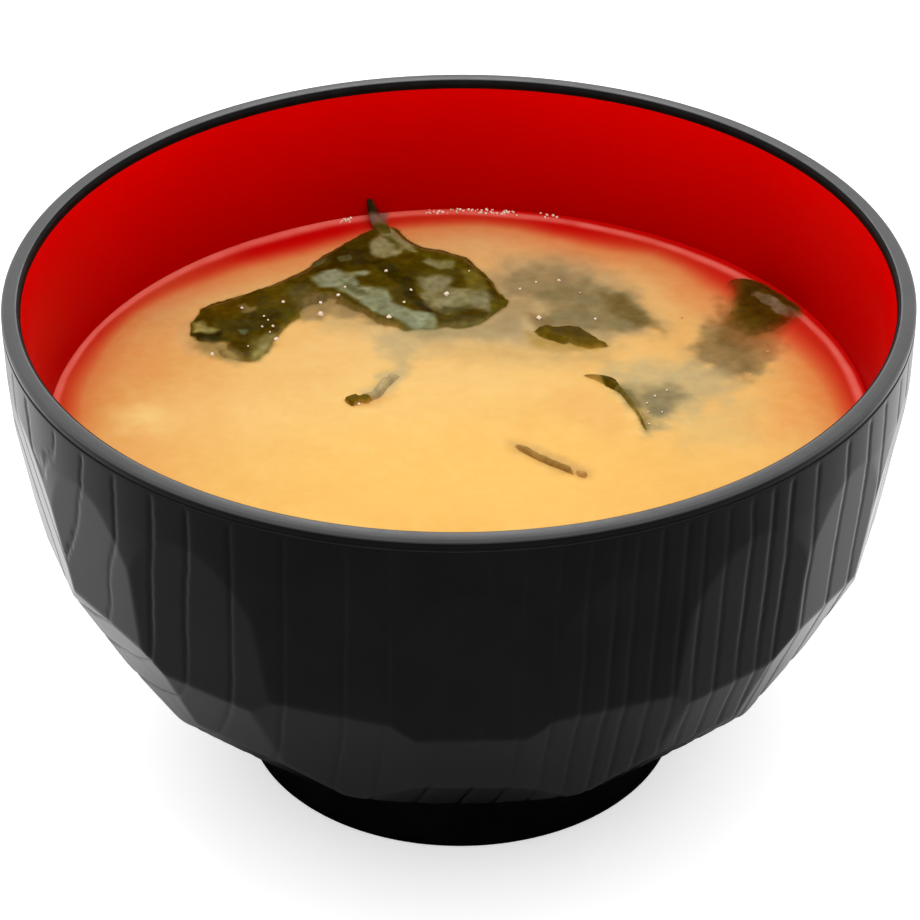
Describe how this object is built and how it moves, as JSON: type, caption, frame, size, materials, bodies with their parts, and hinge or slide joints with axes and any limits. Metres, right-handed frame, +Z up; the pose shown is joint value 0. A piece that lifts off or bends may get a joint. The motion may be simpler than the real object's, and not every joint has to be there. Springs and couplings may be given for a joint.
{
  "type": "miso soup in a lacquered bowl",
  "caption": "Faceted black soup bowl with a red inside and a foot ring, filled with miso soup in which pieces of wakame seaweed float.",
  "frame": {"origin": "middle of the foot ring's lower face, on the surface that the bowl stands on", "axes": "+Z up along the bowl's axis, -Y towards the front, +X to the right"},
  "size_m": [0.115, 0.115, 0.0684],
  "materials": {
    "black_lacquer": "glossy black lacquer over fine wood-grain relief, red inside",
    "miso_broth": "wet, cloudy, pale orange-tan broth",
    "wakame": "wet dark green seaweed"
  },
  "bodies": {
    "root": {"bowl": "black_lacquer", "soup": "miso_broth", "wakame_folded": "wakame", "wakame_back": "wakame", "wakame_wall": "wakame", "wakame_fin": "wakame", "wakame_curl": "wakame", "wakame_sliver": "wakame"}
  },
  "joints": []
}
